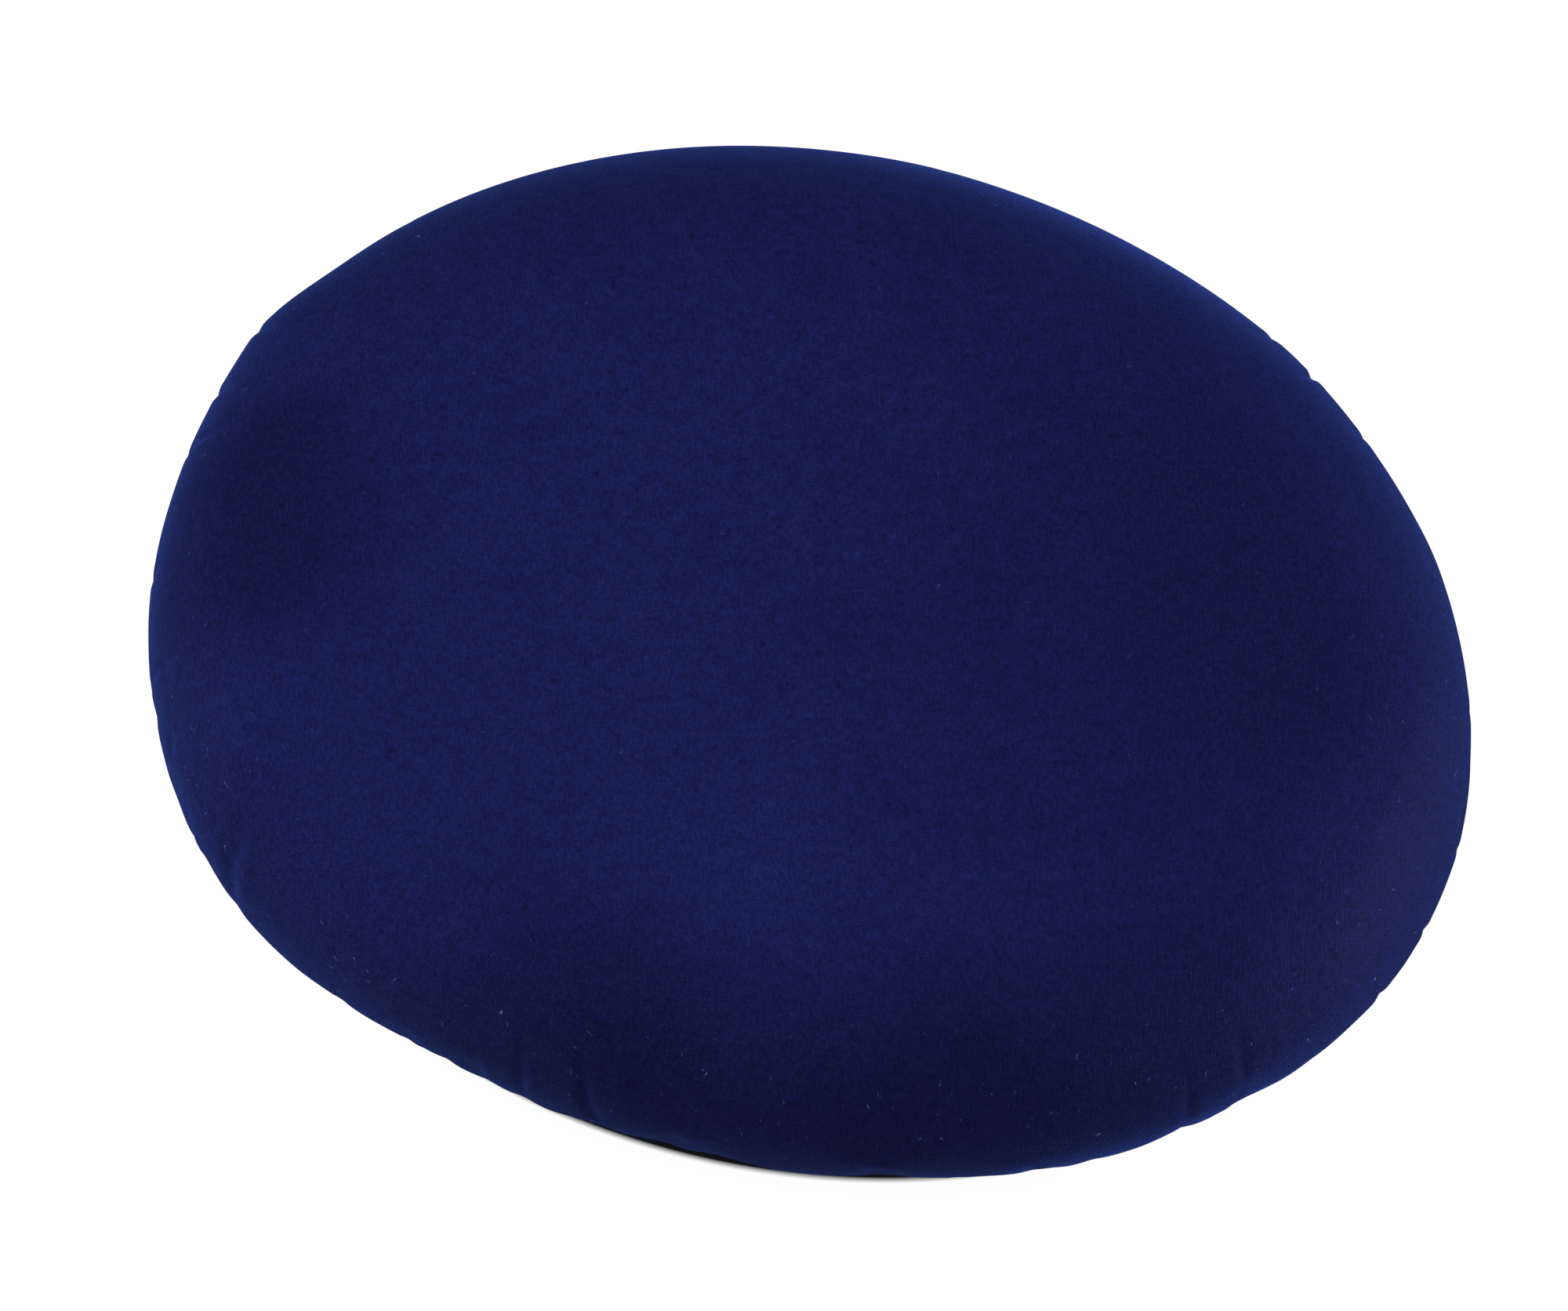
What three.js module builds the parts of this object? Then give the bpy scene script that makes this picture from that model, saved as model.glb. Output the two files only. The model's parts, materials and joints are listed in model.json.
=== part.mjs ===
// Ring cushion: a wide oval ring pad in a plain navy woven cover. The cover is drawn right over
// the ring, so the hole shows only as a shallow dip in the crown. Its side rolls in under the
// widest line and is puckered where its edge is eased into a flat base panel.
//
// Millimetres. X runs along the cushion, +Z is up, and the origin is on the surface that the
// cushion rests on, under its middle. Bearings are degrees round the oval, from +X towards +Y.
import * as THREE from 'three';

// Driving dimensions
const LENGTH = 457;
const WIDTH = 381;
const HEIGHT = 76;
const WAIST_HEIGHT = 27;
const TUCK_IN = 26;
const SHOULDER_REACH = 85;
const SHOULDER_POWER = 2.3;
const SEAM_INSET = 34;
const PANEL_THICKNESS = 2;
const SEAM_GAP = 0.3;

// The top falls a little from the ring's crown towards the middle, over this distance
const CROWN_FALL = 1.5;
const CROWN_RUN = 55;

// The dip where the cover spans the hole of the ring, a little off the middle
const DIP = { x: 22, y: -9, depth: 4, reach: 50 };

// Slow swells (out is positive) and flats (out is negative) of the oval's outline
const SWELLS = [
  { bearing: 28, spread: 22, out: -2.5 },
  { bearing: 110, spread: 32, out: 2.2 },
  { bearing: 162, spread: 13, out: -1.5 },
  { bearing: 182, spread: 12, out: -2.8 },
  { bearing: 224, spread: 17, out: 5.5 },
  { bearing: 272, spread: 26, out: -3 },
  { bearing: 345, spread: 24, out: 3 },
];

// Main puckers of the side: troughs that start at the base seam and fade at height top.
// Width is measured along the outline.
const PUCKERS = [
  { bearing: 8, width: 13, depth: 1.2, top: 42 },
  { bearing: 24, width: 12, depth: 1, top: 40 },
  { bearing: 39, width: 14, depth: 1.6, top: 52 },
  { bearing: 49, width: 13, depth: 1.8, top: 56 },
  { bearing: 66, width: 12, depth: 1.1, top: 40 },
  { bearing: 84, width: 14, depth: 1.3, top: 44 },
  { bearing: 101, width: 12, depth: 1, top: 38 },
  { bearing: 121, width: 14, depth: 1.4, top: 46 },
  { bearing: 139, width: 12, depth: 1.1, top: 42 },
  { bearing: 157, width: 13, depth: 1.3, top: 48 },
  { bearing: 170, width: 12, depth: 1.6, top: 54 },
  { bearing: 180, width: 13, depth: 1.6, top: 54 },
  { bearing: 192, width: 12, depth: 1.3, top: 48 },
  { bearing: 205, width: 13, depth: 2, top: 56 },
  { bearing: 213, width: 12, depth: 1.8, top: 58 },
  { bearing: 222, width: 14, depth: 2.4, top: 68 },
  { bearing: 238, width: 14, depth: 1.4, top: 46 },
  { bearing: 249, width: 12, depth: 1.3, top: 46 },
  { bearing: 259, width: 12, depth: 2, top: 56 },
  { bearing: 267, width: 14, depth: 2.4, top: 60 },
  { bearing: 279, width: 13, depth: 1.2, top: 44 },
  { bearing: 296, width: 14, depth: 1, top: 40 },
  { bearing: 311, width: 13, depth: 1.1, top: 42 },
  { bearing: 323, width: 12, depth: 2, top: 56 },
  { bearing: 330, width: 12, depth: 2, top: 58 },
  { bearing: 346, width: 13, depth: 1.4, top: 46 },
];

// How finely the solid is divided
const ROUND_STEPS = 144;
const TUCK_STEPS = 5;
const SHOULDER_STEPS = 9;
const CROWN_STEPS = 6;

const HALF_LENGTH = LENGTH / 2;
const HALF_WIDTH = WIDTH / 2;
const MEAN_RADIUS = (HALF_LENGTH + HALF_WIDTH) / 2;
const QUARTER_TURN = Math.PI / 2;

// Smooth step from 0 at low to 1 at high
function ease(value, low, high) {
  return THREE.MathUtils.smoothstep(value, low, high);
}

// Signed difference of two bearings in degrees, from -180 to 180
function turnBetween(bearing, other) {
  return THREE.MathUtils.euclideanModulo(bearing - other + 180, 360) - 180;
}

// The widest line at a step round the oval: its point, its outward direction and its bearing
function outlineAt(step) {
  const turn = (2 * Math.PI * (step % ROUND_STEPS)) / ROUND_STEPS;
  const point = new THREE.Vector2(HALF_LENGTH * Math.cos(turn), HALF_WIDTH * Math.sin(turn));
  const outward = new THREE.Vector2(Math.cos(turn) / HALF_LENGTH, Math.sin(turn) / HALF_WIDTH);
  outward.normalize();
  const bearing = THREE.MathUtils.radToDeg(point.angle());
  for (const swell of SWELLS) {
    const share = turnBetween(bearing, swell.bearing) / swell.spread;
    point.addScaledVector(outward, swell.out * Math.exp(-share * share));
  }
  return { point, outward, bearing };
}

// How far the puckers draw the side in, at a bearing and a height
function puckerDepth(bearing, height) {
  const arcPerDegree = (Math.PI * MEAN_RADIUS) / 180;
  let depth = 0;
  for (const fold of PUCKERS) {
    const across = (arcPerDegree * turnBetween(bearing, fold.bearing)) / (fold.width / 2);
    const along = 1 - ease(height, WAIST_HEIGHT / 2, fold.top);
    depth += fold.depth * along * Math.exp(-across * across);
  }
  return depth;
}

// Height of the crown at a place on the top that lies inset from the widest line
function crownHeight(x, y, inset) {
  const fall = CROWN_FALL * ease(inset, SHOULDER_REACH, SHOULDER_REACH + CROWN_RUN);
  const away = Math.hypot(x - DIP.x, y - DIP.y) / DIP.reach;
  return HEIGHT - fall - DIP.depth * Math.exp(-away * away);
}

// Stations of the section, from the middle of the underside, round the side, to the middle of
// the crown. Inset is measured in from the widest line.
function sectionStations() {
  const recess = PANEL_THICKNESS + SEAM_GAP;
  const stations = [
    { inset: MEAN_RADIUS, height: recess, zone: 'under' },
    { inset: SEAM_INSET, height: recess, zone: 'under' },
    { inset: SEAM_INSET, height: 0, zone: 'under' },
  ];
  for (let i = 0; i <= TUCK_STEPS; i += 1) {
    const swing = (QUARTER_TURN * i) / TUCK_STEPS;
    const inset = TUCK_IN * (1 - Math.sin(swing));
    stations.push({ inset, height: WAIST_HEIGHT * (1 - Math.cos(swing)), zone: 'side' });
  }
  for (let i = 1; i <= SHOULDER_STEPS; i += 1) {
    const swing = (QUARTER_TURN * i) / SHOULDER_STEPS;
    const share = 2 / SHOULDER_POWER;
    const inset = SHOULDER_REACH * (1 - Math.max(0, Math.cos(swing)) ** share);
    const height = WAIST_HEIGHT + (HEIGHT - WAIST_HEIGHT) * Math.sin(swing) ** share;
    stations.push({ inset, height, zone: 'side' });
  }
  for (let i = 1; i <= CROWN_STEPS; i += 1) {
    const inset = THREE.MathUtils.lerp(SHOULDER_REACH, MEAN_RADIUS, i / CROWN_STEPS);
    stations.push({ inset, height: HEIGHT, zone: 'crown' });
  }
  return stations;
}

// Place of a station at one step round the oval
function placeStation(station, step) {
  const { point, outward, bearing } = outlineAt(step);
  const edgeInset = Math.min(station.inset, station.zone === 'under' ? SEAM_INSET : SHOULDER_REACH);
  const place = point.clone().addScaledVector(outward, -edgeInset);
  place.multiplyScalar((MEAN_RADIUS - station.inset) / (MEAN_RADIUS - edgeInset));
  let height = station.height;
  if (station.zone === 'side') {
    const drawn = puckerDepth(bearing, height) * ease(height, 0, WAIST_HEIGHT / 2);
    place.addScaledVector(outward, -drawn);
  }
  if (station.zone !== 'under' && station.inset > SHOULDER_REACH / 2) {
    height += crownHeight(place.x, place.y, station.inset) - HEIGHT;
  }
  return new THREE.Vector3(place.x, place.y, height);
}

// The filled cushion: a turned profile whose rings are pressed into the oval, puckers and dip
function cushionGeometry() {
  const stations = sectionStations();
  const profile = stations.map(({ inset, height }) => new THREE.Vector2(MEAN_RADIUS - inset, height));
  const geometry = new THREE.LatheGeometry(profile, ROUND_STEPS);
  const places = geometry.attributes.position;
  for (let step = 0; step <= ROUND_STEPS; step += 1) {
    stations.forEach((station, row) => {
      const { x, y, z } = placeStation(station, step);
      places.setXYZ(step * stations.length + row, x, y, z);
    });
  }
  return geometry;
}

// The flat oval of cloth that closes the underside, a seam's gap inside the rim
function basePanelGeometry() {
  const corners = [];
  for (let step = 0; step < ROUND_STEPS; step += 1) {
    const { point, outward } = outlineAt(step);
    corners.push(point.addScaledVector(outward, -(SEAM_INSET + SEAM_GAP)));
  }
  const oval = new THREE.Shape(corners);
  return new THREE.ExtrudeGeometry(oval, { depth: PANEL_THICKNESS, bevelEnabled: false });
}

// Navy polycotton: matt, with no metal in it
function navyCloth() {
  return new THREE.MeshStandardMaterial({ color: 0x1b2255, roughness: 0.85, metalness: 0 });
}

function piece(name, geometry) {
  const mesh = new THREE.Mesh(geometry, navyCloth());
  mesh.name = name;
  return mesh;
}

// The swells move and stretch the oval's box a little. This brings the whole back to its length
// and width, with the middle of its box over the origin.
function fitToSize(group) {
  const box = new THREE.Box3().setFromObject(group);
  const size = box.getSize(new THREE.Vector3());
  const middle = box.getCenter(new THREE.Vector3());
  group.scale.set(LENGTH / size.x, WIDTH / size.y, 1);
  group.position.set(-middle.x * group.scale.x, -middle.y * group.scale.y, 0);
}

const ringCushion = new THREE.Group();
ringCushion.add(piece('cushion', cushionGeometry()));
ringCushion.add(piece('base_panel', basePanelGeometry()));
fitToSize(ringCushion);

export default ringCushion;
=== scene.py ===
"""Ring cushion: a navy woven cover over a wide oval ring pad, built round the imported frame.

Sizes are millimetres until a mesh is made, when they become metres. Turns are degrees, and
bearings go round the oval from +X towards +Y. Tones are sRGB hex codes.
"""
import json
import logging
import math
from dataclasses import dataclass, field

import bpy
import numpy as np
from bpy.types import ID, Material, Mesh, Node, NodeSocket, NodeTree, Object
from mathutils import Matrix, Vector

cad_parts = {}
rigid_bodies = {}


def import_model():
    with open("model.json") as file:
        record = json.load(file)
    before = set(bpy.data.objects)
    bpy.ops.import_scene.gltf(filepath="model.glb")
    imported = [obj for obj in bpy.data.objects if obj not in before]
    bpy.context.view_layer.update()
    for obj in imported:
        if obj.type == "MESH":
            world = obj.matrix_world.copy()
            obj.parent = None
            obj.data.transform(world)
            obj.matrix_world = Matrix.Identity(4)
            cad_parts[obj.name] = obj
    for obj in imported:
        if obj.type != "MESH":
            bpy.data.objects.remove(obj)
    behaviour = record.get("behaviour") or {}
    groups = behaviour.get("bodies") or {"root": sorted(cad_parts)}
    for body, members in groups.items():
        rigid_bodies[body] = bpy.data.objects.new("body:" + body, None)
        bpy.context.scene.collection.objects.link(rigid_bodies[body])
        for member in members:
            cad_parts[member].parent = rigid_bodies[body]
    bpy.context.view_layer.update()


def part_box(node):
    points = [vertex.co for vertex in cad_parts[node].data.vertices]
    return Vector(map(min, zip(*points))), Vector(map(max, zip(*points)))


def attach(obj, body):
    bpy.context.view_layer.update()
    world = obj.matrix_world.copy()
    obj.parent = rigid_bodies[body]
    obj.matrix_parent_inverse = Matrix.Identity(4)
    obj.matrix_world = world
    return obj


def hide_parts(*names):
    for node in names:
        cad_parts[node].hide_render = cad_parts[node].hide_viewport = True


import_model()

MM = 0.001
TINY = 1e-9
FULL_TURN = 360.0
BODY = "root"
CLOTH_MAP = "cloth"
# The point attribute that holds the painted shade and painted highlights
PAINTED_SHADE_MAP = "painted_shade"
DUST_MAP = "dust"

log = logging.getLogger("ring_cushion")


def smooth_step(value: np.ndarray, low: float, high: float) -> np.ndarray:
    """Rise smoothly from 0, where a value is low or less, to 1, where it is high or more."""
    share = np.clip((value - low) / (high - low), 0.0, 1.0)
    return share * share * (3.0 - 2.0 * share)


def turn_between(bearing: np.ndarray, other: float) -> np.ndarray:
    """Signed difference of two bearings, from -180 to 180 degrees."""
    return (bearing - other + FULL_TURN / 2) % FULL_TURN - FULL_TURN / 2


def linear(code: str) -> tuple[float, float, float, float]:
    """Turn an sRGB hex colour into a linear colour with full alpha.

    Args:
        code: Six hex digits, with no hash sign.

    Returns:
        Linear red, green and blue, and an alpha of 1.
    """
    channels = []
    for start in (0, 2, 4):
        level = int(code[start:start + 2], 16) / 255
        channels.append(level / 12.92 if level <= 0.04045 else ((level + 0.055) / 1.055) ** 2.4)
    return (channels[0], channels[1], channels[2], 1.0)


def select_only(piece: Object | None) -> None:
    """Leave one piece selected and active, or none, so that an operator acts on nothing else.

    Args:
        piece: The piece, or None.
    """
    for other in bpy.context.view_layer.objects:
        other.select_set(other == piece)
    bpy.context.view_layer.objects.active = piece


def read_rows(mesh: Mesh, value: str) -> np.ndarray:
    """Read the places or the normals of a mesh's points.

    Args:
        mesh: The mesh.
        value: "co" for places in metres, "normal" for normals.

    Returns:
        A row for each point.
    """
    flat = np.empty(len(mesh.vertices) * 3)
    mesh.vertices.foreach_get(value, flat)
    return flat.reshape(-1, 3)


def write_points(mesh: Mesh, points: np.ndarray) -> None:
    """Move a mesh's points, none of them under the floor.

    Args:
        mesh: The mesh.
        points: The new place of each point.
    """
    points[:, 2] = points[:, 2].clip(min=0.0)
    mesh.vertices.foreach_set("co", (points * MM).ravel())
    mesh.update()


@dataclass
class RingNet:
    """Closed rings of points, one inside or above another, joined by faces.

    A ring has as many points as its neighbour, or half or twice as many, and the first and
    the last may be a single point.

    Attributes:
        rings: The points of each ring.
        charts: Their places on the flat cloth.
        held: How firmly each point is held while the cloth settles, from 0 to 1.
        tight: How closely the cloth is fitted at each point, from 0 to 1.
    """

    rings: list[np.ndarray] = field(default_factory=list)
    charts: list[np.ndarray] = field(default_factory=list)
    held: list[float] = field(default_factory=list)
    tight: list[float] = field(default_factory=list)

    def add(self, flat: np.ndarray, height: np.ndarray | float, chart: np.ndarray, every: int = 1,
            held: float = 1.0, tight: float = 1.0) -> None:
        """Add a ring over the last one.

        Args:
            flat: Its points seen from above.
            height: Their height, or the height of each.
            chart: Their places on the flat cloth.
            every: Keep one point in this many.
            held: How firmly it is held.
            tight: How closely the cloth is fitted there.
        """
        ring = np.column_stack([flat, np.broadcast_to(height, len(flat))])[::every]
        self.rings.append(ring)
        self.charts.append(chart[::every])
        self.held += [float(held)] * len(ring)
        self.tight += [float(tight)] * len(ring)

    def spans(self) -> list[range]:
        """Give the point numbers of each ring."""
        ends = np.cumsum([0] + [len(ring) for ring in self.rings]).tolist()
        return [range(start, stop) for start, stop in zip(ends, ends[1:])]

    def faces(self) -> list[tuple[int, ...]]:
        """Join the rings, with all faces pointing out."""
        spans = self.spans()
        return [face for low, high in zip(spans, spans[1:]) for face in self.band(low, high)]

    @staticmethod
    def band(low: range, high: range) -> list[tuple[int, ...]]:
        """Join one ring to the next.

        Args:
            low: The point numbers of the lower ring.
            high: The point numbers of the ring above.

        Returns:
            The faces between them.
        """
        counts = (len(low), len(high))
        steps = max(counts) if 1 in counts else min(counts)
        low_step, high_step = (max(1, count // steps) for count in counts)
        faces = []
        for step in range(steps):
            here = [low[(step * low_step + i) % len(low)] for i in range(low_step + 1)]
            there = [high[(step * high_step + i) % len(high)] for i in range(high_step, -1, -1)]
            faces.append(tuple(dict.fromkeys(here + there)))
        return faces

    def piece(self, name: str) -> Object:
        """Make a smooth-shaded mesh object of the rings, at the origin.

        Args:
            name: The piece's name.

        Returns:
            The new object, with the UV map that places it on the flat cloth.
        """
        mesh = bpy.data.meshes.new(name)
        mesh.from_pydata((np.vstack(self.rings) * MM).tolist(), [], self.faces())
        mesh.validate()
        mesh.shade_smooth()
        corner_points = np.empty(len(mesh.loops), dtype=np.int32)
        mesh.loops.foreach_get("vertex_index", corner_points)
        layer = mesh.uv_layers.new(name=CLOTH_MAP)
        layer.data.foreach_set("uv", np.vstack(self.charts)[corner_points].ravel())
        piece = bpy.data.objects.new(name, mesh)
        bpy.context.scene.collection.objects.link(piece)
        return piece


@dataclass(frozen=True)
class Swell:
    """A slow swell of the oval's outline, or a flat where out is negative.

    Attributes:
        bearing: Where it is.
        spread: How far it reaches to each side.
        out: How far it moves the outline out.
    """

    bearing: float
    spread: float
    out: float


# Columns: bearing, spread, out
SWELLS = tuple(Swell(*row) for row in (
    (28, 22, -2.5),
    (110, 32, 2.2),
    (162, 13, -1.5),
    (166, 6, 2.4),
    (182, 12, -2.8),
    (224, 17, 6.4),
    (262, 9, 0.8),
    (272, 26, -3.0),
    (314, 11, 1.4),
    (328, 18, 1.4),
    (345, 24, 3.2),
))


@dataclass(frozen=True)
class Outline:
    """The widest line round the cushion: an oval with slow swells, fitted to its box.

    Attributes:
        length: The box along X.
        width: The box along Y.
    """

    length: float
    width: float

    def trace(self, columns: int) -> tuple[np.ndarray, np.ndarray, np.ndarray]:
        """Walk round the outline.

        Args:
            columns: How many points to give.

        Returns:
            The points, the outward directions and the bearings in degrees.
        """
        turns = np.linspace(0.0, 2.0 * math.pi, columns, endpoint=False)
        halves = np.array([self.length, self.width]) / 2
        circle = np.stack([np.cos(turns), np.sin(turns)], axis=1)
        points = circle * halves
        outward = circle / halves
        outward /= np.linalg.norm(outward, axis=1, keepdims=True)
        bearings = np.degrees(np.arctan2(points[:, 1], points[:, 0])) % FULL_TURN
        for swell in SWELLS:
            share = turn_between(bearings, swell.bearing) / swell.spread
            points = points + outward * (swell.out * np.exp(-share**2))[:, None]
        low, high = points.min(axis=0), points.max(axis=0)
        points = (points - (low + high) / 2) * (2 * halves / (high - low))
        return points, outward, bearings

    def mean_radius(self) -> float:
        """Give the mean radius of the outline."""
        return (self.length + self.width) / 4


@dataclass(frozen=True)
class Section:
    """The cushion's section, from the base seam round the side to where the crown levels out.

    Attributes:
        height: The whole height.
        waist: The height of the widest line.
        tuck_in: How far the side rolls in below the widest line.
        shoulder_reach: How far in from the widest line the crown levels out.
        shoulder_power: 2 is a round shoulder, and more is squarer.
        seam_inset: How far in from the widest line the base seam runs.
        panel_recess: How deep the base panel is set into the underside.
        steps: How finely the side and the shoulder are each traced.
    """

    height: float
    waist: float = 27.0
    tuck_in: float = 26.0
    shoulder_reach: float = 85.0
    shoulder_power: float = 2.3
    seam_inset: float = 34.0
    panel_recess: float = 2.3
    steps: int = 200

    def profile(self) -> tuple[np.ndarray, np.ndarray, np.ndarray]:
        """Trace the section finely.

        Returns:
            The insets, the heights and the distances up the cloth from the base seam.
        """
        swing = np.linspace(0.0, math.pi / 2, self.steps)
        share = 2 / self.shoulder_power
        rise = self.height - self.waist
        tuck_inset = self.tuck_in * (1 - np.sin(swing))
        tuck_height = self.waist * (1 - np.cos(swing))
        shoulder_inset = self.shoulder_reach * (1 - np.cos(swing).clip(0) ** share)
        shoulder_height = self.waist + rise * np.sin(swing) ** share
        insets = np.concatenate([[self.seam_inset], tuck_inset, shoulder_inset[1:]])
        heights = np.concatenate([[0.0], tuck_height, shoulder_height[1:]])
        lengths = np.hypot(np.diff(insets), np.diff(heights))
        return insets, heights, np.concatenate([[0.0], np.cumsum(lengths)])

    def side(self, fine: float, coarse: float, fine_top: float) -> np.ndarray:
        """Divide the side and the shoulder into rows.

        Args:
            fine: The spacing of the rows up to fine_top.
            coarse: The spacing that the rows above it grow to.
            fine_top: The height up to which the rows are fine.

        Returns:
            A row each of the inset, the height, the distance up the cloth from the seam, and
            the shares of the way into the cushion that go in and up.
        """
        _, heights, along = self.profile()
        stops = [0.0]
        while stops[-1] < along[-1]:
            height = np.interp(stops[-1], along, heights)
            grown = smooth_step(height, fine_top, self.height)
            stops.append(stops[-1] + fine + (coarse - fine) * float(grown))
        return self.rows_at(np.array(stops))

    def rows_at(self, stops: np.ndarray) -> np.ndarray:
        """Give the rows at distances up the cloth, stretched to end at the edge of the crown.

        Args:
            stops: The distances from the seam.

        Returns:
            The same rows as side().
        """
        insets, heights, along = self.profile()
        fitted = stops * (along[-1] / stops[-1])
        inset, height = np.interp(fitted, along, insets), np.interp(fitted, along, heights)
        inset_step, height_step = np.gradient(inset), np.gradient(height)
        length = np.hypot(inset_step, height_step)
        return np.stack([inset, height, fitted, height_step / length, -inset_step / length], axis=1)

    def inset_at(self, height: float) -> float:
        """Give the inset of the side at a height, from the base seam to the crown."""
        rows = self.side(1.0, 1.0, self.waist)
        return float(np.interp(height, rows[:, 1], rows[:, 0]))


@dataclass(frozen=True)
class Pucker:
    """A trough that runs up the side from the base seam, where the cloth is eased in.

    Attributes:
        bearing: Where it is.
        width: Its width along the outline.
        depth: Its depth at the seam.
        top: The height at which it fades.
    """

    bearing: float
    width: float
    depth: float
    top: float


# Columns: bearing, width, depth, top
PUCKERS = tuple(Pucker(*row) for row in (
    (8, 13, 1.2, 42),
    (24, 12, 1.0, 40),
    (39, 14, 1.6, 52),
    (49, 13, 1.8, 56),
    (66, 12, 1.1, 40),
    (84, 14, 1.3, 44),
    (101, 12, 1.0, 38),
    (121, 14, 1.4, 46),
    (139, 12, 1.1, 42),
    (157, 13, 1.3, 48),
    (170, 12, 1.6, 54),
    (180, 13, 1.6, 54),
    (192, 12, 1.3, 48),
    (205, 13, 2.0, 56),
    (213, 12, 1.8, 58),
    (222, 14, 2.4, 68),
    (238, 14, 1.4, 46),
    (249, 12, 1.3, 46),
    (259, 12, 2.0, 56),
    (267, 14, 2.4, 60),
    (279, 13, 1.2, 44),
    (296, 14, 1.0, 40),
    (311, 13, 1.1, 42),
    (323, 12, 2.0, 56),
    (330, 12, 2.0, 58),
    (346, 13, 1.4, 46),
))


@dataclass(frozen=True)
class SmallGathers:
    """Small uneven gathers round the base seam, between the main puckers.

    Attributes:
        count: How many there are.
        seed: Settles their uneven places and sizes.
        stray: How far each strays from even spacing, as a share of it.
        widths: Their least and greatest width.
        depths: Their least and greatest depth.
        tops: The least and greatest height at which they fade.
    """

    count: int = 64
    seed: int = 7
    stray: float = 0.35
    widths: tuple[float, float] = (7.0, 11.0)
    depths: tuple[float, float] = (0.2, 0.9)
    tops: tuple[float, float] = (18.0, 38.0)

    def spread(self) -> tuple[Pucker, ...]:
        """Draw the gathers, which are the same each time.

        Returns:
            The gathers, in order round the seam.
        """
        chance = np.random.default_rng(self.seed)
        gathers = []
        for step in range(self.count):
            bearing = (step + chance.uniform(-self.stray, self.stray)) * (FULL_TURN / self.count)
            sizes = [chance.uniform(*ends) for ends in (self.widths, self.depths, self.tops)]
            gathers.append(Pucker(bearing, *sizes))
        return tuple(gathers)


GATHERS = PUCKERS + SmallGathers().spread()


@dataclass(frozen=True)
class Crease:
    """A sharp crease in the side, a soft trough with a low ridge along both its edges.

    Attributes:
        bearing: Where its deep end is.
        height: The height of its deep end.
        to_bearing: Where its fading end is.
        to_height: The height of its fading end.
        width: Its width.
        depth: Its depth.
        ridge: The height of its ridges, as a share of its depth.
        sets_in: The shares of its length between which it grows to its depth.
        fades: The shares of its length between which it fades.
    """

    bearing: float
    height: float
    to_bearing: float
    to_height: float
    width: float
    depth: float
    ridge: float = 0.25
    sets_in: tuple[float, float] = (-0.1, 0.25)
    fades: tuple[float, float] = (0.45, 1.05)


# Columns: bearing, height, to_bearing, to_height, width, depth, and ridge if it isn't the usual
CREASES = tuple(Crease(*row) for row in (
    (225.2, 20, 221.5, 66, 9.0, 1.45, 0.3),
    (217.2, 51, 212.0, 45, 6.0, 0.6),
    (211.0, 37, 209.0, 45, 7.0, 0.7),
    (203.0, 46, 206.5, 51, 7.0, 0.65),
    (218.0, 14, 215.5, 40, 6.0, 0.6),
    (259.6, 22, 258.4, 56, 5.0, 0.9, 0.35),
    (267.0, 18, 263.6, 58, 5.5, 1.1, 0.35),
    (265.6, 10, 266.4, 33, 3.4, 0.6),
    (254.4, 18, 253.0, 44, 5.0, 0.5),
    (324.0, 18, 324.8, 54, 5.5, 0.9, 0.35),
    (329.0, 22, 330.4, 57, 5.0, 0.8, 0.3),
    (331.6, 34, 332.6, 48, 3.2, 0.25),
    (334.0, 33, 334.4, 49, 3.2, 0.25),
))


# How far a rim tuck reaches below and above its middle, and the lowest that it starts
TUCK_BELOW, TUCK_ABOVE, LOWEST_FOOT = 13.0, 14.0, 4.0


def rim_tuck(bearing: float, height: float, depth: float, lean: float = 1.0) -> Crease:
    """Give a short tuck that nicks the rim's outline, as a crease that fades upwards.

    Args:
        bearing: Where it is.
        height: The height of its middle.
        depth: Its depth.
        lean: How far its top leans round the rim.

    Returns:
        The tuck.
    """
    foot, top = max(LOWEST_FOOT, height - TUCK_BELOW), height + TUCK_ABOVE
    return Crease(bearing - lean / 2, foot, bearing + lean / 2, top, width=5.5, depth=depth, ridge=0.3)


# Columns: bearing, height, depth, and lean if it isn't the usual
RIM_TUCKS = tuple(rim_tuck(*row) for row in (
    (12, 34, 0.6),
    (40, 41, 0.8),
    (48, 44, 1.2, -1.5),
    (54, 44, 0.6),
    (77, 33, 0.3),
    (94, 36, 0.3, -1.0),
    (112, 32, 0.3),
    (131, 36, 0.3),
    (150, 38, 0.3, -1.0),
    (167, 45, 0.7),
    (174, 41, 0.9),
    (180, 47, 0.7, -1.5),
    (193, 34, 0.9),
    (203, 38, 0.8),
    (238, 18, 0.3, -1.0),
    (246, 17, 0.25),
    (273, 16, 0.15),
    (288, 14, 0.15, -1.0),
    (303, 15, 0.15),
    (345, 21, 0.7),
    (352, 23, 0.6, -1.0),
    (360, 26, 0.7),
))


@dataclass(frozen=True)
class Patch:
    """A soft round patch of the top, seen from above.

    Attributes:
        x: Where its middle is along the cushion.
        y: Where its middle is across it.
        reach: How far it reaches.
        lift: How much it adds in its middle to what it changes.
    """

    x: float
    y: float
    reach: float
    lift: float

    def lift_at(self, places: np.ndarray) -> np.ndarray:
        """Give how much the patch adds at each of some places."""
        away = np.hypot(places[:, 0] - self.x, places[:, 1] - self.y) / self.reach
        return self.lift * np.exp(-away**2)


# The dip where the cover spans the hole, with its lift in millimetres
DIP = Patch(x=19.5, y=-11.3, reach=50.0, lift=-4.0)
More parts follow.
